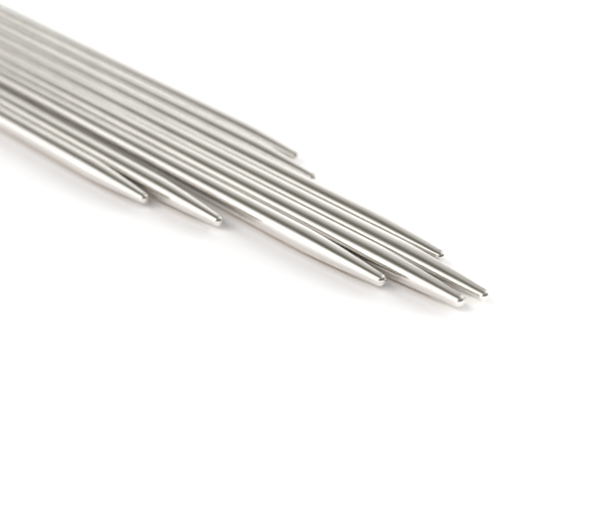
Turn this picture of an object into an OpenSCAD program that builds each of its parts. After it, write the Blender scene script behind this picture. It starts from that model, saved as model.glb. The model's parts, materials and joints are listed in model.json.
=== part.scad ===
// Eight straight (single-pointed) steel knitting needles lying side by side
// on a table, each one a ground steel shaft pressed into a turned stopper.
// +X runs towards the points, +Z up, needle 1 is the one nearest -Y.
// The origin is on the table, directly below the point that reaches furthest.

/* [Shaft] */
// Diameter of the shaft
needle_d = 3.5; // [2.5:0.25:4]
// Length of a whole needle, from its point to the back of its stopper
needle_l = 350; // [250:10:400]
// Length of the point that narrows from full diameter to the tip
point_l = 17.5; // [14:0.5:22]
// Radius of the rounded tip
tip_r = 0.85; // [0.7:0.05:1]

/* [Stopper] */
// Diameter of the stopper's rim, the widest part of a needle
stopper_d = 6; // [5.75:0.25:7.5]
// Length of the stopper
stopper_l = 9; // [8.5:0.5:12]
// Diameter of the stopper's neck, where the shaft goes in
neck_d = 4.4; // [4.3:0.1:4.8]
// Length of the straight neck
neck_l = 3.2; // [2:0.1:4]
// Diameter of the spigot on the shaft's end, pressed into the stopper
spigot_d = 2.8; // [2:0.1:3]
// Depth of the blind bore that holds the spigot
bore_depth = 6.5; // [5:0.5:7]

/* [Row] */
// How far each point lies behind the one that reaches furthest
point_back = [54.2, 40.2, 11.2, 0.8, 0, 12, 45.8, 55.6]; // [0:0.1:80]
// Gap from each shaft to the next, where the shorter one's point begins
side_gap = [0.6, 2.4, 0.6, 0.1, 0.3, 0.3, 0.3]; // [0.1:0.1:4]
// Spare gap between the stoppers of two neighbours
stopper_gap = 0.2; // [0.2:0.1:1]

/* [Hidden] */
$fn = 64;

shaft_r = needle_d / 2;
rim_r = stopper_d / 2;
neck_r = neck_d / 2;

// the point's outline: a ball at the tip, then a curve that meets the shaft level
point_steps = 16;
ball_step = 15;
blend_angle = 4;   // angle at which the curve leaves the ball
point_power = 1.4; // 1 would be a plain cone; more makes the point fuller
ball_end = [tip_r * cos(blend_angle), tip_r * (1 - sin(blend_angle))];

// the press fit and the small turned edges
press_bite = 0.01;   // the bore is this much smaller than the spigot, on radius
end_gap = 0.2;       // space between the spigot's end and the bottom of the bore
edge = 0.3;          // chamfer on the spigot's end, the neck and the bore's mouth
rim_edge_r = 0.6;    // rounding at the back of the rim
flare_l = 3;         // length of the hollow curve from the neck to the rim
flare_steps = 8;
spigot_r = spigot_d / 2;
bore_r = spigot_r - press_bite;

// distances behind the tip: the stopper's front, where the shaft's full diameter
// ends, and the end of the spigot
stopper_at = needle_l - stopper_l;
spigot_end = stopper_at + bore_depth - end_gap;

// a needle lies on its shaft's front edge and on its stopper's rim
rim_at = stopper_at + neck_l + flare_l;
tilt = atan((rim_r - shaft_r) / (rim_at - point_l));
tip_z = shaft_r * cos(tilt) - point_l * sin(tilt);

// the stoppers hold neighbours apart at the back, so the row fans out by this angle a needle
fan = atan((stopper_d + stopper_gap - needle_d) / (needle_l - point_l));
straight = 5;  // the needle that lies exactly along X

function back(i) = point_back[i - 1];
function turn(i) = (straight - i) * fan;

// where needle i's axis crosses the station x, seen from above
function axis_y(i, x) = tip_y(i) + tan(turn(i)) * (x + back(i));

// needles i and i + 1 lie closest where the shorter one's point begins
function close_x(i) = -max(back(i), back(i + 1)) - point_l;
function pitch(i) = needle_d + side_gap[i - 1];
function tip_y(i) =
    i == straight ? 0 :
    i > straight
        ? axis_y(i - 1, close_x(i - 1)) + pitch(i - 1) - tan(turn(i)) * (close_x(i - 1) + back(i))
        : axis_y(i + 1, close_x(i)) - pitch(i) - tan(turn(i)) * (close_x(i) + back(i));

// puts needle i in the row; its tip is at the origin and its shaft runs along -X
module in_row(i) {
    translate([-back(i), tip_y(i), tip_z])
        rotate([0, tilt, turn(i)])
            children();
}

// revolves an outline of [radius, distance behind the tip] about the needle's axis
module turned(outline) {
    rotate([0, -90, 0])
        rotate_extrude()
            polygon(outline);
}

// radius of the point at t of its length, from 0 at the ball to 1 at the shaft
function point_r(t) = shaft_r - (shaft_r - ball_end[0]) * pow(1 - t, point_power);

module shaft(i) {
    color("silver")
        in_row(i)
            turned(concat(
                [[0, 0]],
                [for (a = [ball_step : ball_step : 90 - blend_angle - 1])
                    [tip_r * sin(a), tip_r * (1 - cos(a))]],
                [for (s = [0 : point_steps])
                    [point_r(s / point_steps),
                     ball_end[1] + (point_l - ball_end[1]) * s / point_steps]],
                [[shaft_r, stopper_at], [spigot_r, stopper_at],
                 [spigot_r, spigot_end - edge], [spigot_r - edge, spigot_end], [0, spigot_end]]
            ));
}

module stopper(i) {
    color("gainsboro")
        in_row(i)
            turned(concat(
                [[bore_r + edge, stopper_at], [neck_r - edge, stopper_at], [neck_r, stopper_at + edge]],
                [for (s = [0 : flare_steps])
                    [neck_r + (rim_r - neck_r) * (1 - cos(90 * s / flare_steps)),
                     stopper_at + neck_l + flare_l * s / flare_steps]],
                [for (a = [0 : 15 : 90])
                    [rim_r - rim_edge_r * (1 - cos(a)), needle_l - rim_edge_r * (1 - sin(a))]],
                [[0, needle_l], [0, stopper_at + bore_depth],
                 [bore_r, stopper_at + bore_depth], [bore_r, stopper_at + edge]]
            ));
}

shaft(1);  // needle_1_shaft
stopper(1);  // needle_1_stopper
shaft(2);  // needle_2_shaft
stopper(2);  // needle_2_stopper
shaft(3);  // needle_3_shaft
stopper(3);  // needle_3_stopper
shaft(4);  // needle_4_shaft
stopper(4);  // needle_4_stopper
shaft(5);  // needle_5_shaft
stopper(5);  // needle_5_stopper
shaft(6);  // needle_6_shaft
stopper(6);  // needle_6_stopper
shaft(7);  // needle_7_shaft
stopper(7);  // needle_7_stopper
shaft(8);  // needle_8_shaft
stopper(8);  // needle_8_stopper
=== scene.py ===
"""Eight polished steel knitting needles on a white table.

Every needle is a ground shaft and a turned stopper. Both are revolved here as fine
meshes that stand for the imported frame's shafts and stoppers, in the frame's own places.
"""
import json
import math

import bpy
from mathutils import Matrix, Vector

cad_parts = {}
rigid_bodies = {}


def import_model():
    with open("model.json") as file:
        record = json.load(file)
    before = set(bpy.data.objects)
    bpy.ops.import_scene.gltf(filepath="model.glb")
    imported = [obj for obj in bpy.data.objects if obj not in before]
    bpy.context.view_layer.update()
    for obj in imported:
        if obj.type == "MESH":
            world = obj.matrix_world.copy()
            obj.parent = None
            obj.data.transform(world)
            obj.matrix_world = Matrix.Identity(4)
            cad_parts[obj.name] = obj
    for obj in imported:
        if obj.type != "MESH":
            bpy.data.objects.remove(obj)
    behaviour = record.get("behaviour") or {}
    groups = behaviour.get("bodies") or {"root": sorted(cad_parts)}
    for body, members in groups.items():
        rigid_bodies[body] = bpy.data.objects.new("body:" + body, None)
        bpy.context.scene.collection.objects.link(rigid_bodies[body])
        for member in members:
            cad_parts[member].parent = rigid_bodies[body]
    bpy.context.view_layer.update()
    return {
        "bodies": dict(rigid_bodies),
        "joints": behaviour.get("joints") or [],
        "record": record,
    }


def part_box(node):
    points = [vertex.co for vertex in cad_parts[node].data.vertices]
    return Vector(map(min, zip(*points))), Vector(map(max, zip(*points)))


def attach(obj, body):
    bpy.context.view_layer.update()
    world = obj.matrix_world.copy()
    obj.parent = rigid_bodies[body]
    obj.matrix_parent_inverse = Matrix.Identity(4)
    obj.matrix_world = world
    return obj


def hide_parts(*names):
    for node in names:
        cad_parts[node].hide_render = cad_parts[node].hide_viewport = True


MM = 0.001

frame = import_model()

# ---------------------------------------------------------------- sizes, in millimetres

SHAFT_R = 1.75
NEEDLE_L = 350.0
POINT_L = 17.5
TIP_R = 0.85
TIP_ANGLE = math.radians(4)  # where the point's curve leaves the ball of the tip
POINT_POWER = 1.4  # 1 would be a plain cone; more makes the point fuller

STOPPER_L = 9.0
STOPPER_AT = NEEDLE_L - STOPPER_L
RIM_R = 3.0
NECK_R = 2.2
NECK_L = 3.2
FLARE_L = 3.0
RIM_EDGE_R = 0.6
SMALL_EDGE = 0.3
SPIGOT_R = 1.4
BORE_R = SPIGOT_R - 0.01  # a press fit
BORE_END = STOPPER_AT + 6.5
SPIGOT_END = BORE_END - 0.2
RIM_MIDDLE = (STOPPER_AT + NECK_L + FLARE_L + NEEDLE_L - RIM_EDGE_R) / 2

SEGMENTS = 160  # faces around a needle

# ---------------------------------------------------------------- light

# what the steel mirrors, by the angle from level in front, up and over to level behind, in degrees
ROOM = (
    (0, (1.35, 1.35, 1.34)),
    (42, (1.30, 1.30, 1.28)),
    (50, (0.80, 0.80, 0.77)),
    (58, (0.26, 0.255, 0.23)),
    (67, (0.15, 0.143, 0.12)),
    (79, (0.16, 0.152, 0.13)),
    (111, (0.60, 0.59, 0.56)),
    (136, (1.00, 1.00, 0.98)),
    (150, (1.20, 1.20, 1.19)),
    (180, (1.25, 1.25, 1.24)),
)
# a dimmer gap in the card behind, which shows in the points
CARD_GAP = (0.45, 0.44, 0.42, 1)
# low down past the points, which shows in the rounded tips
PAST_POINTS = (0.09, 0.085, 0.075, 1)
# what lights the table, by the same angle; a little pink from the front
LIGHT = (
    (0, (2.50, 2.43, 2.43)),
    (40, (3.30, 3.22, 3.22)),
    (54, (4.30, 4.20, 4.20)),
    (60, (0.26, 0.25, 0.23)),
    (66, (0.08, 0.07, 0.06)),
    (108, (0.08, 0.07, 0.06)),
    (118, (0.51, 0.48, 0.43)),
    (128, (1.15, 1.16, 1.12)),
    (140, (2.30, 2.37, 2.37)),
    (156, (3.60, 3.71, 3.71)),
    (164, (7.00, 7.20, 7.20)),
    (180, (7.80, 8.05, 8.05)),
)
# how much more of that light comes from the points' end, as a share
FROM_POINTS = 0.5
# the share of the mirrored room that the steel throws back on the table
THROWN = (0.25, 0.22, 0.19)
# what the camera sees beyond the table
BACKDROP = (0.97, 0.97, 0.97, 1)

# ---------------------------------------------------------------- colours

SHAFT_STEEL = (0.868, 0.840, 0.803)
STOPPER_STEEL = (0.80, 0.79, 0.76)
HANDLED = 0.95  # how much of its brightness steel keeps where it is most handled
TABLE_TONES = ((0.79, 0.79, 0.785, 1), (0.81, 0.81, 0.81, 1))
# the table within FOOT_REACH of what stands on it, for a deeper contact shadow
TABLE_AT_FEET = (0.45, 0.41, 0.37, 1)
FOOT_REACH = 1.4 * MM

NOISE_RANGE = (0.3, 0.7)  # where nearly all of a noise texture's values lie


# ---------------------------------------------------------------- where each needle lies

def needles():
    """The numbers of the needles, from the front one to the back one."""
    return range(1, len(frame["bodies"]) + 1)


def tilt():
    """How far every needle rises towards its stopper, from the face on a stopper's back."""
    mounts = {mount["name"]: mount for mount in frame["record"]["mounts"]}
    return math.asin(mounts["stopper_back"]["axis"][2])


def heading(number):
    """The level direction a needle points in; its slide joint runs the opposite way."""
    for joint in frame["joints"]:
        if joint["child"] == f"needle_{number}":
            return -Vector(joint["axis"])
    return Vector((1, 0, 0))


def placement(number):
    """The matrix that carries a needle built along -X from its tip to its place in the row."""
    turn = math.atan2(heading(number).y, heading(number).x)
    rotation = Matrix.Rotation(turn, 4, "Z") @ Matrix.Rotation(tilt(), 4, "Y")
    low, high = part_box(f"needle_{number}_stopper")
    rim = rotation @ Vector((-RIM_MIDDLE * MM, 0, 0))
    tip_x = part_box(f"needle_{number}_shaft")[1].x
    tip = Vector((tip_x, (low.y + high.y) / 2 - rim.y, (low.z + high.z) / 2 - rim.z))
    return Matrix.Translation(tip) @ rotation


# ---------------------------------------------------------------- meshes

def arc(centre, radius, start, end, steps):
    """Points (radius from the axis, distance behind the tip) on a circular arc; angles in degrees."""
    angles = [math.radians(start + (end - start) * i / steps) for i in range(steps + 1)]
    return [(centre[0] + radius * math.cos(a), centre[1] + radius * math.sin(a)) for a in angles]


def shaft_outline():
    """A rounded tip, a point that meets the shaft level, the shaft, and its spigot."""
    ball_steps, point_steps = 12, 40
    ball_angles = [(math.pi / 2 - TIP_ANGLE) * i / ball_steps for i in range(ball_steps + 1)]
    ball = [(TIP_R * math.sin(a), TIP_R * (1 - math.cos(a))) for a in ball_angles]
    start_r, start = ball[-1]
    point = [
        (SHAFT_R - (SHAFT_R - start_r) * (1 - i / point_steps) ** POINT_POWER,
         start + (POINT_L - start) * i / point_steps)
        for i in range(1, point_steps + 1)
    ]
    back = [(SHAFT_R, STOPPER_AT), (SPIGOT_R, STOPPER_AT), (SPIGOT_R, SPIGOT_END - SMALL_EDGE),
            (SPIGOT_R - SMALL_EDGE, SPIGOT_END), (0, SPIGOT_END)]
    return ball + point + back


def stopper_outline():
    """From the bore's mouth over the neck, flare and rim to the flat back, then the bore."""
    neck_steps, flare_steps, rim_steps = 5, 16, 8
    mouth = [(BORE_R + SMALL_EDGE, STOPPER_AT)]
    neck = arc((NECK_R - SMALL_EDGE, STOPPER_AT + SMALL_EDGE), SMALL_EDGE, -90, 0, neck_steps)
    flare = [
        (NECK_R + (RIM_R - NECK_R) * (1 - math.cos(math.pi / 2 * i / flare_steps)),
         STOPPER_AT + NECK_L + FLARE_L * i / flare_steps)
        for i in range(flare_steps + 1)
    ]
    rim = arc((RIM_R - RIM_EDGE_R, NEEDLE_L - RIM_EDGE_R), RIM_EDGE_R, 0, 90, rim_steps)
    bore = [(0, NEEDLE_L), (0, BORE_END), (BORE_R, BORE_END), (BORE_R, STOPPER_AT + SMALL_EDGE)]
    return mouth + neck + flare + rim + bore


def revolve(name, outline, closed):
    """A mesh of the outline turned about the X axis. An open outline starts and ends on the axis."""
    verts, rows = [], []
    for radius, behind in outline:
        if radius == 0:
            rows.append([len(verts)] * SEGMENTS)
            verts.append((-behind * MM, 0, 0))
        else:
            rows.append(range(len(verts), len(verts) + SEGMENTS))
            verts += [
                (-behind * MM,
                 radius * MM * math.cos(math.tau * k / SEGMENTS),
                 radius * MM * math.sin(math.tau * k / SEGMENTS))
                for k in range(SEGMENTS)
            ]
    pairs = list(zip(rows, rows[1:]))
    if closed:
        pairs.append((rows[-1], rows[0]))
    faces = []
    for near, far in pairs:
        for k in range(SEGMENTS):
            after = (k + 1) % SEGMENTS
            corners = [near[k], near[after], far[after], far[k]]
            corners = [c for i, c in enumerate(corners) if c not in corners[:i]]
            if len(corners) > 2:
                faces.append(corners)
    mesh = bpy.data.meshes.new(name)
    mesh.from_pydata(verts, [], faces)
    mesh.shade_smooth()
    mesh.set_sharp_from_angle(angle=math.radians(28))
    mesh.update()
    return mesh


# ---------------------------------------------------------------- shader nodes

def feed(tree, socket, value):
    """Sets an input to a value, or links it if the value is another node's output."""
    if isinstance(value, bpy.types.NodeSocket):
        tree.links.new(value, socket)
    else:
        socket.default_value = value


def add(tree, kind, **inputs):
    """A new shader node, with its inputs set or linked by name."""
    node = tree.nodes.new(kind)
    for name, value in inputs.items():
        feed(tree, node.inputs[name.replace("_", " ")], value)
    return node


def spread(tree, value, source, target=(0.0, 1.0), smooth=False):
    """value carried from the source range of numbers to the target range, and held at its ends."""
    node = add(tree, "ShaderNodeMapRange", Value=value, From_Min=source[0], From_Max=source[1],
               To_Min=target[0], To_Max=target[1])
    node.interpolation_type = "SMOOTHSTEP" if smooth else "LINEAR"
    return node.outputs["Result"]


def rising(tree, value, start, end):
    """0 where value is under start and 1 where it is over end, with a smooth step between."""
    return spread(tree, value, (start, end), smooth=True)


def falling(tree, value, start, end):
    """1 where value is under start and 0 where it is over end, with a smooth step between."""
    return spread(tree, value, (start, end), (1.0, 0.0), smooth=True)


def mix(tree, factor, first, second):
    """The colour first where factor is 0 and second where it is 1."""
    node = tree.nodes.new("ShaderNodeMix")
    node.data_type = "RGBA"
    factor_in, first_in, second_in = node.inputs[0], node.inputs[6], node.inputs[7]
    feed(tree, factor_in, factor)
    feed(tree, first_in, first)
    feed(tree, second_in, second)
    return node.outputs[2]


def ramp(tree, turn, stops):
    """Colours by turn, which runs from 0 to 1. Each stop is an angle up to 180 and a colour."""
    node = add(tree, "ShaderNodeValToRGB", Fac=turn)
    marks = node.color_ramp.elements
    while len(marks) < len(stops):
        marks.new(1.0)
    for mark, (angle, colour) in zip(marks, stops):
        mark.position = angle / 180
        mark.color = colour + (1,)
    return node.outputs["Color"]


def calculate(tree, operation, *values):
    """One step of arithmetic on numbers or sockets."""
    node = tree.nodes.new("ShaderNodeMath")
    node.operation = operation
    for socket, value in zip(node.inputs, values):
        feed(tree, socket, value)
    return node.outputs[0]


def scale(tree, colour, factor):
    """A colour made brighter or darker."""
    node = tree.nodes.new("ShaderNodeVectorMath")
    node.operation = "SCALE"
    feed(tree, node.inputs["Vector"], colour)
    feed(tree, node.inputs["Scale"], factor)
    return node.outputs["Vector"]


def multiply(tree, colour, share):
    """A colour with each of its three channels multiplied by a share of its own."""
    node = tree.nodes.new("ShaderNodeVectorMath")
    node.operation = "MULTIPLY"
    feed(tree, node.inputs[0], colour)
    feed(tree, node.inputs[1], share)
    return node.outputs["Vector"]


# ---------------------------------------------------------------- materials

def new_material(name):
    """A material, its node tree and its shader."""
    material = bpy.data.materials.new(name)
    material.use_nodes = True
    tree = material.node_tree
    return material, tree, tree.nodes["Principled BSDF"]


def steel(name, colour, roughness, line_scale, line_depth):
    """Steel with fine tool lines and faint patches from handling.

    line_scale is how close together the lines lie along each axis: the larger, the closer."""
    material, tree, shader = new_material(name)
    place = add(tree, "ShaderNodeTexCoord").outputs["Object"]
    lines_at = add(tree, "ShaderNodeMapping", Vector=place, Scale=line_scale).outputs[0]
    lines = add(tree, "ShaderNodeTexNoise", Vector=lines_at,
                Scale=1.0, Detail=4.0, Roughness=0.6).outputs[0]
    patches = add(tree, "ShaderNodeTexNoise", Vector=place, Scale=140.0, Detail=3.0).outputs[0]
    worn = spread(tree, patches, NOISE_RANGE, (-0.02, 0.03))
    lined = spread(tree, lines, NOISE_RANGE, (roughness - 0.03, roughness + 0.03))
    clean = spread(tree, patches, (0.35, 0.65))
    handled = tuple(HANDLED * channel for channel in colour)
    bump = add(tree, "ShaderNodeBump", Height=lines, Strength=line_depth, Distance=0.02 * MM)
    feed(tree, shader.inputs["Base Color"], mix(tree, clean, handled + (1,), colour + (1,)))
    feed(tree, shader.inputs["Metallic"], 1.0)
    feed(tree, shader.inputs["Roughness"], calculate(tree, "ADD", worn, lined))
    feed(tree, shader.inputs["Normal"], bump.outputs[0])
    return material


def polished_steel():
    """The shafts, with long grinding lines."""
    return steel("polished_steel", SHAFT_STEEL,
                 roughness=0.13, line_scale=(60, 9000, 9000), line_depth=0.35)


def turned_steel():
    """The stoppers, with the lathe's rings."""
    return steel("turned_steel", STOPPER_STEEL,
                 roughness=0.24, line_scale=(14000, 500, 500), line_depth=0.5)


def table_top():
    """Smooth matt white with a trace of unevenness, darker at the feet of what stands on it."""
    material, tree, shader = new_material("white_table")
    place = add(tree, "ShaderNodeTexCoord").outputs["Object"]
    cloud = add(tree, "ShaderNodeTexNoise", Vector=place, Scale=9.0, Detail=3.0).outputs[0]
    open_table = mix(tree, spread(tree, cloud, NOISE_RANGE), *TABLE_TONES)
    nearby = add(tree, "ShaderNodeAmbientOcclusion", Distance=FOOT_REACH)
    openness = spread(tree, nearby.outputs["AO"], (0.05, 0.80))
    feed(tree, shader.inputs["Base Color"], mix(tree, openness, TABLE_AT_FEET, open_table))
    feed(tree, shader.inputs["Roughness"], 0.7)
    feed(tree, shader.inputs["Specular IOR Level"], 0.1)
    return material


# ---------------------------------------------------------------- the needles

def build_needles():
    """A shaft and a stopper for every needle, in the places of the frame's own."""
    shaft_mesh = revolve("shaft", shaft_outline(), closed=False)
    stopper_mesh = revolve("stopper", stopper_outline(), closed=True)
    shaft_mesh.materials.append(polished_steel())
    stopper_mesh.materials.append(turned_steel())
    for number in needles():
        for part, mesh in (("shaft", shaft_mesh), ("stopper", stopper_mesh)):
            piece = bpy.data.objects.new(f"{part}_{number}", mesh)
            bpy.context.scene.collection.objects.link(piece)
            piece.matrix_world = placement(number)
            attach(piece, f"needle_{number}")
            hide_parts(f"needle_{number}_{part}")


# ---------------------------------------------------------------- table, light and camera

def build_table():
    """A level white square that reaches far past the frame of the picture."""
    reach = 6.0  # metres
    mesh = bpy.data.meshes.new("table")
    corners = [(x * reach, y * reach, 0) for x, y in ((-1, -1), (1, -1), (1, 1), (-1, 1))]
    mesh.from_pydata(corners, [], [(0, 1, 2, 3)])
    mesh.materials.append(table_top())
    table = bpy.data.objects.new("table", mesh)
    bpy.context.scene.collection.objects.link(table)


def mirrored_room(tree, along, height, turn):
    """What the steel mirrors: white cards along the front and the back, a dim room overhead, a gap
    in the back card, and darkness low down past the points, where the camera stands."""
    along_gap = calculate(tree, "MULTIPLY", rising(tree, along, -0.70, -0.50),
                          falling(tree, along, -0.40, -0.15))
    in_gap = calculate(tree, "MULTIPLY", along_gap, rising(tree, turn, 0.58, 0.70))
    in_dark = calculate(tree, "MULTIPLY", rising(tree, along, 0.36, 0.54),
                        falling(tree, height, 0.42, 0.62))
    cards = mix(tree, in_gap, ramp(tree, turn, ROOM), CARD_GAP)
    return mix(tree, in_dark, cards, PAST_POINTS)


def build_surroundings():
    """The studio around the needles: LIGHT on the table, ROOM mirrored in the steel, and a plain
    backdrop for the camera. The direction's parts are along the needles, to the side, and up."""
    world = bpy.data.worlds.new("studio")
    bpy.context.scene.world = world
    world.use_nodes = True
    tree = world.node_tree
    direction = add(tree, "ShaderNodeTexCoord").outputs["Generated"]
    along, side, height = add(tree, "ShaderNodeSeparateXYZ", Vector=direction).outputs
    around = calculate(tree, "ARCTAN2", height, calculate(tree, "MULTIPLY", side, -1.0))
    turn = calculate(tree, "DIVIDE", around, math.pi)
    strength = calculate(tree, "MULTIPLY_ADD", along, FROM_POINTS, 1.0)
    light = scale(tree, ramp(tree, turn, LIGHT), strength)
    mirrored = mirrored_room(tree, along, height, turn)
    path = add(tree, "ShaderNodeLightPath").outputs
    bounced = calculate(tree, "GREATER_THAN", path["Diffuse Depth"], 0.5)
    mirrored = mix(tree, bounced, mirrored, multiply(tree, mirrored, THROWN))
    seen = mix(tree, path["Is Glossy Ray"], light, mirrored)
    seen = mix(tree, path["Is Camera Ray"], seen, BACKDROP)
    feed(tree, tree.nodes["Background"].inputs["Color"], seen)


def build_camera():
    """Close to the points, low and in front of them, looking back along the shafts. In metres."""
    distance, focus_distance = 0.16109, 0.156
    elevation, off_axis = math.radians(24.62), math.radians(36.49)
    target = Vector((-0.02797, -0.00905, 0))
    back = Vector((math.cos(off_axis) * math.cos(elevation),
                   -math.sin(off_axis) * math.cos(elevation),
                   math.sin(elevation)))
    data = bpy.data.cameras.new("camera")
    data.sensor_width = 36
    data.lens = 70
    data.clip_start = 0.005
    camera = bpy.data.objects.new("camera", data)
    bpy.context.scene.collection.objects.link(camera)
    camera.location = target + back * distance
    camera.rotation_euler = back.to_track_quat("Z", "Y").to_euler()
    focus = bpy.data.objects.new("focus", None)
    bpy.context.scene.collection.objects.link(focus)
    focus.location = camera.location - back * focus_distance
    data.dof.use_dof = True
    data.dof.focus_object = focus
    data.dof.aperture_fstop = 24
    bpy.context.scene.camera = camera


build_needles()
build_table()
build_surroundings()
build_camera()
bpy.context.scene.view_settings.view_transform = "Standard"
